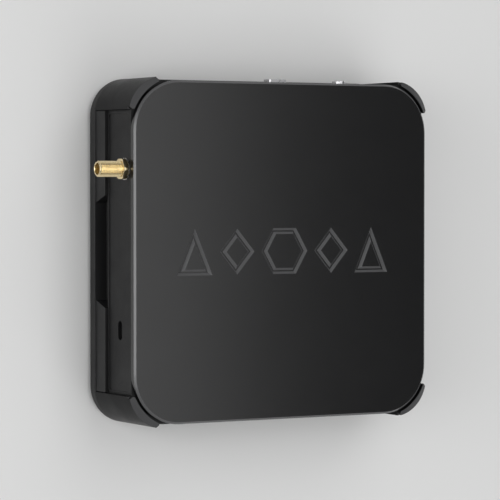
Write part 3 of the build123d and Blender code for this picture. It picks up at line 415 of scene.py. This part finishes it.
THREAD_PITCH = 0.7056  # 36 threads to the inch
THREAD_DEPTH = 0.36
THREAD_STEPS = 56
NUT_T = 2.2
WASHER_T = 0.6
BORE_R = 2.3
BORE_DEPTH = 7.0
LEAD_BORE_R = 1.2

aerial_at, aerial_size = node_frame("antenna_connector", "left")
nut_low, nut_high = (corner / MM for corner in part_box("antenna_nut"))
tip_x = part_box("antenna_connector")[0].x / MM
inner_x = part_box("antenna_connector")[1].x / MM
CREST_R = 3.175
ROOT_R = CREST_R - THREAD_DEPTH
thread_start = nut_low.x - tip_x  # depths behind the tip
washer_back = nut_high.x + WASHER_T - tip_x
tail = inner_x - tip_x
FLANGE_R = aerial_size.y / 2
FLANGE_CHAMFER = 0.2
FLANGE_FRONT = washer_back + 1.8
FLANGE_BACK = washer_back + 3.8
TAIL_R = 1.7
NECK_R = 2.8
TIP_CHAMFER = 0.42
SKIN_OVERLAP = 0.04  # the core lies this far under the thread's root


def tip_limit(depth):
    """The largest radius of the thread near the socket's tip, where it is chamfered."""
    return min(CREST_R, CREST_R - TIP_CHAMFER + depth)


def threaded_skin(shape, near, far):
    """A helical thread between two depths behind the tip."""
    profile = ((0.0, 0.0), (0.06, 0.0), (0.44, 1.0), (0.56, 1.0), (0.94, 0.0))
    turns = int((far - near) / THREAD_PITCH) + 2
    part = bmesh.new()
    columns = []
    for k in range(turns * THREAD_STEPS + 1):
        angle = 2 * pi * k / THREAD_STEPS
        column = []
        for highlight_share, rise in profile + ((1.0, 0.0),):
            depth = near - THREAD_PITCH + THREAD_PITCH * (k / THREAD_STEPS + highlight_share)
            depth = min(max(depth, near), far)
            radius = min(ROOT_R + THREAD_DEPTH * rise, tip_limit(depth))
            column.append(part.verts.new((radius * cos(angle), radius * sin(angle), -depth)))
        columns.append(column)
    for first, second in zip(columns, columns[1:]):
        for i in range(len(profile)):
            part.faces.new((first[i], first[i + 1], second[i + 1], second[i]))
    bmesh.ops.remove_doubles(part, verts=part.verts[:], dist=0.002)
    bmesh.ops.recalc_face_normals(part, faces=part.faces[:])
    shape.take(part)


barrel = Shape(aerial_at)
threaded_skin(barrel, 0.0, thread_start + 0.3)
barrel.turned(
    [
        (ROOT_R - SKIN_OVERLAP, -0.02),
        (ROOT_R - 0.12, 0.0),
        (BORE_R + 0.16, 0.0),
        (BORE_R, -0.16),
        (BORE_R, -BORE_DEPTH),
        (LEAD_BORE_R, -BORE_DEPTH),
        (LEAD_BORE_R, -tail),
        (TAIL_R, -tail),
        (TAIL_R, -FLANGE_BACK),
        (FLANGE_R - FLANGE_CHAMFER, -FLANGE_BACK),
        (FLANGE_R, -FLANGE_BACK + FLANGE_CHAMFER),
        (FLANGE_R, -FLANGE_FRONT - FLANGE_CHAMFER),
        (FLANGE_R - FLANGE_CHAMFER, -FLANGE_FRONT),
        (NECK_R, -FLANGE_FRONT),
        (NECK_R, -thread_start),
        (ROOT_R - SKIN_OVERLAP, -thread_start),
    ],
    72,
)
barrel.finish("aerial_barrel", "gold_brass", stands_for=("antenna_connector",), sharp=30)


def hex_radius(angle, across):
    """The radius of a hexagon at an angle, for its size across flats."""
    turn = (angle + pi / 6) % (pi / 3) - pi / 6
    return across / 2 / cos(turn)


NUT_STEPS = 120
NUT_ACROSS = 8.0
NUT_CORNER_R = 4.35
NUT_CONE_R = 3.86  # where the chamfer meets the end faces
NUT_CONE_LEAN = radians(32)
NUT_MOUTH_R = 3.15
NUT_BORE_R = 2.86

nut = Shape(aerial_at)
nut_rows = []
levels = (0.0, 0.1, 0.2, 0.3, 0.42, NUT_T / 2, NUT_T - 0.42, NUT_T - 0.3, NUT_T - 0.2, NUT_T - 0.1, NUT_T)
for level in levels:
    cone = NUT_CONE_R + min(level, NUT_T - level) / tan(NUT_CONE_LEAN)
    row = []
    for i in range(NUT_STEPS):
        angle = 2 * pi * i / NUT_STEPS
        radius = min(hex_radius(angle, NUT_ACROSS), cone, NUT_CORNER_R)
        row.append((radius * cos(angle), radius * sin(angle), -thread_start - level))
    nut_rows.append(row)
bore = ((NUT_MOUTH_R, NUT_T), (NUT_BORE_R, NUT_T - 0.3), (NUT_BORE_R, 0.3), (NUT_MOUTH_R, 0.0))
nut_rows += [circle(radius, -thread_start - level, NUT_STEPS) for radius, level in bore]
nut.rings(nut_rows)
nut.finish("aerial_nut", "gold_brass", stands_for=("antenna_nut",), sharp=24)

TEETH = 14
STEPS_PER_TOOTH = 10
WASHER_STEPS = TEETH * STEPS_PER_TOOTH
WASHER_R = 4.35
WASHER_BORE_R = 3.35
WASHER_BEND_R = 3.9
WASHER_GAP_R = 3.92
TOOTH_SHARE = 0.72  # of each step round the rim; the rest is gap
TOOTH_TWIST = 0.36

washer = Shape(aerial_at)
rows = []
section = (
    (WASHER_BORE_R, 0.16),
    (WASHER_BEND_R, 0.16),
    (WASHER_R, 0.12),
    (WASHER_R, 0.44),
    (WASHER_BEND_R, 0.44),
    (WASHER_BORE_R, 0.44),
)
for radius, level in section:
    row = []
    for i in range(WASHER_STEPS):
        angle = 2 * pi * i / WASHER_STEPS
        tooth = (i % STEPS_PER_TOOTH) / STEPS_PER_TOOTH
        in_gap = tooth > TOOTH_SHARE
        flat = in_gap or radius == WASHER_BORE_R
        reach = min(radius, WASHER_GAP_R) if in_gap else radius
        twist = 0.0 if flat else (tooth - TOOTH_SHARE / 2) * TOOTH_TWIST * (radius - WASHER_BORE_R)
        row.append((reach * cos(angle), reach * sin(angle), -(thread_start + NUT_T + level + twist)))
    rows.append(row)
washer.rings(rows)
washer.finish("aerial_lock_washer", "bright_steel", stands_for=("antenna_washer",), sharp=30)

# ---------------------------------------------------------------- vent meshes

HOLE_PITCH = 1.9
HOLE_R = 0.68
SHEET_T = 0.5
FRAME_W = 0.7
FRAME_T = 0.8
FRAME_SOFTEN = 0.08
HOLE_SIDES = 12
HOLE_TURN = pi / 6  # between two corners of a hole


def perforated(shape, width, height, thickness):
    """A sheet with round holes in a triangular pattern and a plain rim, its front face at height 0."""
    part = bmesh.new()
    corner = HOLE_PITCH / 3**0.5
    step_y = HOLE_PITCH * 3**0.5 / 2
    rows = int((height / 2 - FRAME_W) / step_y)
    columns = int((width / 2 - FRAME_W) / HOLE_PITCH)
    for row in range(-rows, rows + 1):
        for column in range(-columns, columns + 1):
            x = (column + (0.5 if row % 2 else 0.0)) * HOLE_PITCH
            y = row * step_y
            outline = []
            hole = []
            for k in range(HOLE_SIDES):
                angle = HOLE_TURN * k + HOLE_TURN
                reach = corner if k % 2 == 0 else HOLE_PITCH / 2
                outline.append((x + reach * cos(angle), y + reach * sin(angle)))
                angle = HOLE_TURN * (k + 1)
                hole.append((x + HOLE_R * cos(angle), y + HOLE_R * sin(angle)))
            front = [[part.verts.new((*p, 0.0)) for p in loop] for loop in (outline, hole)]
            back = [[part.verts.new((*p, -thickness)) for p in loop] for loop in (outline, hole)]
            for i in range(HOLE_SIDES):
                j = (i + 1) % HOLE_SIDES
                part.faces.new((front[0][i], front[0][j], front[1][j], front[1][i]))
                part.faces.new((back[0][j], back[0][i], back[1][i], back[1][j]))
                part.faces.new((front[1][i], front[1][j], back[1][j], back[1][i]))
    bmesh.ops.remove_doubles(part, verts=part.verts[:], dist=0.01)
    shape.take(part)
    for sign in (-1, 1):
        shape.bar((0, sign * (height - FRAME_W) / 2, -FRAME_T / 2), (width, FRAME_W, FRAME_T), FRAME_SOFTEN)
        shape.bar((sign * (width - FRAME_W) / 2, 0, -FRAME_T / 2), (FRAME_W, height, FRAME_T), FRAME_SOFTEN)


mesh_low, mesh_high = (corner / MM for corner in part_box("vent_meshes"))
mesh_mid_z = (mesh_low.z + mesh_high.z) / 2
MESH_W = 49.0
sheets = Shape()
for side, out in OUTWARD.items():
    reach = mesh_high.x if out.x else mesh_high.y
    sheets.at = wall_frame(side, out * reach + Vector((0, 0, mesh_mid_z)))
    perforated(sheets, MESH_W, mesh_high.z - mesh_low.z, SHEET_T)
sheets.finish("vent_mesh_sheets", "mesh_steel", stands_for=("vent_meshes",), sharp=30)

# ---------------------------------------------------------------- contacts in the sockets


def contact_row(shape, count, pitch, width, centre_y, thick, near, far):
    """A row of flat contacts that run inwards."""
    for i in range(count):
        x = (i - (count - 1) / 2) * pitch
        shape.bar((x, centre_y, -(near + far) / 2), (width, thick, far - near), thick * 0.3)


for place in ("rear", "middle", "front"):
    at, size = node_frame(f"usb_port_{place}", "right")
    contacts = Shape(at)
    contact_row(contacts, 4, 2.3, 1.1, 0.22, 0.16, 3.0, 12.0)
    contact_row(contacts, 5, 2.0, 0.7, 0.22, 0.1, 2.55, 2.95)
    contacts.finish(f"usb_contacts_{place}", "gold_brass")
    leaves = Shape(at)
    for x in (-3.4, 3.4):
        for y, lean in ((-size.y / 2 + 0.62, -0.09), (size.y / 2 - 0.6, 0.09)):
            leaves.bar((x, y, -4.2), (1.9, 0.22, 5.2), 0.08, lean)
    leaves.finish(f"usb_springs_{place}", "port_steel")

usb_c_frame, _ = node_frame("usb_c_port", "right")
usb_c_contacts = Shape(usb_c_frame)
for y in (-0.37, 0.37):
    contact_row(usb_c_contacts, 12, 0.5, 0.24, y, 0.06, 2.0, 6.0)
usb_c_contacts.finish("usb_c_contacts", "gold_brass")

hdmi_frame, hdmi_size = node_frame("hdmi_port", "rear")
hdmi_contacts = Shape(hdmi_frame)
contact_row(hdmi_contacts, 10, 1.0, 0.42, 0.3 - 0.68, 0.08, 2.4, 9.0)
contact_row(hdmi_contacts, 9, 1.0, 0.42, 0.3 + 0.68, 0.08, 2.4, 9.0)
hdmi_contacts.finish("hdmi_contacts", "gold_brass")
hdmi_leaves = Shape(hdmi_frame)
for x in (-4.4, 4.4):
    for y, lean in ((-hdmi_size.y / 2 + 0.6, -0.07), (hdmi_size.y / 2 - 0.58, 0.07)):
        hdmi_leaves.bar((x, y, -3.6), (1.6, 0.2, 4.0), 0.07, lean)
hdmi_leaves.finish("hdmi_springs", "port_steel")

display_frame, _ = node_frame("display_port", "rear")
display_contacts = Shape(display_frame)
contact_row(display_contacts, 10, 0.45, 0.2, 0.3 - 0.53, 0.07, 3.6, 10.0)
display_contacts.finish("display_contacts", "gold_brass")

network_frame, _ = node_frame("network_jack", "rear")
pins = Shape(network_frame)
for i in range(8):
    x = (i - 3.5) * 1.02
    pins.bar((x, -3.7, -5.6), (0.42, 0.34, 7.0), 0.1, radians(-17))
    pins.bar((x, -4.72, -1.7), (0.42, 0.34, 1.6), 0.1)
pins.finish("network_pins", "gold_brass")
lamps = Shape(network_frame)
for x in (-5.5, 5.5):
    lamps.bar((x, 4.6, -0.2), (3.0, 2.2, 0.5), 0.12)
lamps.finish("network_lamps", "light_pipe")

jack_frame, _ = node_frame("power_jack", "rear")
pin = Shape(jack_frame)
rounded_tip = [(1.04, -1.5), (0.95, -1.2), (0.7, -1.05), (0.35, -1.05), (0.35, -1.4), (0.02, -1.4)]
pin.turned([(1.04, -10.6)] + rounded_tip, 40, closed=False)
pin.finish("power_pin", "bright_steel")
spring = Shape(jack_frame)
spring.bar((2.75, 0, -5.0), (0.3, 1.6, 6.0), 0.1)
spring.finish("power_spring", "bright_steel")

audio_frame, _ = node_frame("audio_jack", "rear")
audio_spring = Shape(audio_frame)
for turn, depth in ((0, 5.0), (pi, 8.5)):
    audio_spring.bar((1.62 * cos(turn), 1.62 * sin(turn), -depth), (0.24, 0.9, 2.6), 0.09)
audio_spring.finish("audio_springs", "gold_brass")

# ---------------------------------------------------------------- threaded bracket inserts

INSERT_R = 3.0
INSERT_L = 6.5
INSERT_CHAMFER = 0.12
TAP_R = 1.65
TAP_PITCH = 0.7
TAP_DEPTH = 0.33
TAP_START = 0.35
insert_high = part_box("bracket_inserts")[1] / MM
insert_reach = insert_high.x - INSERT_R
inserts = Shape()
for sx in (-1, 1):
    for sy in (-1, 1):
        inserts.at = Matrix.Translation((sx * insert_reach, sy * insert_reach, 0))
        profile = [
            (INSERT_R, INSERT_L),
            (INSERT_R, INSERT_CHAMFER),
            (INSERT_R - INSERT_CHAMFER, 0.0),
            (TAP_R + 0.55, 0.0),
        ]
        turns = int((INSERT_L - 0.6) / TAP_PITCH)
        for turn in range(turns):
            start = TAP_START + turn * TAP_PITCH
            profile += [(TAP_R + TAP_DEPTH, start), (TAP_R, start + TAP_PITCH / 2)]
        profile += [(TAP_R + TAP_DEPTH, TAP_START + turns * TAP_PITCH), (TAP_R + 0.4, INSERT_L)]
        inserts.turned(profile, 48)
inserts.finish("bracket_thread_inserts", "brass", stands_for=("bracket_inserts",), sharp=25)

# ---------------------------------------------------------------- floor, lights and camera


def floor_material():
    """Pale matt paper."""
    made, tree, shader, coords = new_material("pale_paper")
    broad = noise(tree, coords, 900.0, 3.0)
    tint = blend_colour(tree, broad, (0.77, 0.77, 0.765, 1.0), (0.83, 0.83, 0.825, 1.0))
    tree.links.new(tint, shader.inputs["Base Color"])
    tree.links.new(remap(tree, noise(tree, coords, 4.0), 0.3, 0.7, 0.75, 0.85), shader.inputs["Roughness"])
    inputs = {"Height": noise(tree, coords, 0.8), "Distance": 1e-5, "Strength": 0.5}
    bump = add_node(tree, "ShaderNodeBump", inputs)
    tree.links.new(bump.outputs["Normal"], shader.inputs["Normal"])
    shader.inputs["Specular IOR Level"].default_value = 0.2
    return made


FLOOR_HALF = 8.0
floor_mesh = bpy.data.meshes.new("floor")
floor_z = cad_bounds[0].z
floor_corners = [(x, y, floor_z) for x, y in ((-1, -1), (1, -1), (1, 1), (-1, 1))]
floor_mesh.from_pydata(floor_corners, [], [(0, 1, 2, 3)])
floor_mesh.transform(Matrix.Diagonal((FLOOR_HALF, FLOOR_HALF, 1.0, 1.0)))
floor_mesh.materials.append(floor_material())
ground = bpy.data.objects.new("floor", floor_mesh)
scene.collection.objects.link(ground)

middle = Vector((0.0, 0.0, (cad_bounds[0].z + cad_bounds[1].z) / 2))


def softbox(name, place, target, size_x, size_y, power):
    """A rectangular light that faces a point and isn't seen by the camera."""
    light = bpy.data.lights.new(name, "AREA")
    light.shape = "RECTANGLE"
    light.size = size_x
    light.size_y = size_y
    light.energy = power
    made = bpy.data.objects.new(name, light)
    made.location = place
    made.rotation_euler = (Vector(target) - Vector(place)).to_track_quat("-Z", "Y").to_euler()
    made.visible_camera = False
    scene.collection.objects.link(made)


softbox("overhead", (0.10, 0.0, 1.0), (0.10, 0.0, 0.0), 0.80, 1.40, 4.6)
softbox("over_left", (-0.82, 0.05, 0.88), middle, 0.5, 1.2, 4.1)
softbox("side_left", (-1.15, 0.05, 0.56), middle, 1.3, 0.55, 3.0)
softbox("low_right", (1.30, 0.0, 0.24), middle, 2.0, 0.48, 3.4)
softbox("rear_high", (0.35, 1.0, 0.85), middle, 1.2, 0.7, 3.2)
softbox("front_high", (0.35, -1.0, 0.85), middle, 1.2, 0.7, 3.2)

SKY = (0.96, 0.98, 1.0, 1.0)
SKY_STRENGTH = 0.09

world = bpy.data.worlds.new("studio")
world.use_nodes = True
background = world.node_tree.nodes["Background"].inputs
background["Color"].default_value = SKY
background["Strength"].default_value = SKY_STRENGTH
scene.world = world
scene.view_settings.view_transform = "Standard"
scene.view_settings.look = "None"

VIEW_OFF_NORMAL = radians(29.5)
VIEW_ABOVE = 0.028
VIEW_DISTANCE = 1.08
LENS_MM = 190.0
SENSOR_MM = 36.0
aim = middle + Vector((-0.005, 0.0, 0.0))
towards_eye = Vector((-sin(VIEW_OFF_NORMAL), 0.0, cos(VIEW_OFF_NORMAL)))
eye = aim + VIEW_DISTANCE * towards_eye + Vector((0, VIEW_ABOVE, 0))
back = (eye - aim).normalized()
right = Vector((0, 1, 0)).cross(back).normalized()
up = back.cross(right)
camera = bpy.data.cameras.new("camera")
camera.lens = LENS_MM
camera.sensor_width = SENSOR_MM
viewer = bpy.data.objects.new("camera", camera)
viewer.matrix_world = Matrix.Translation(eye) @ Matrix((right, up, back)).transposed().to_4x4()
scene.collection.objects.link(viewer)
scene.camera = viewer
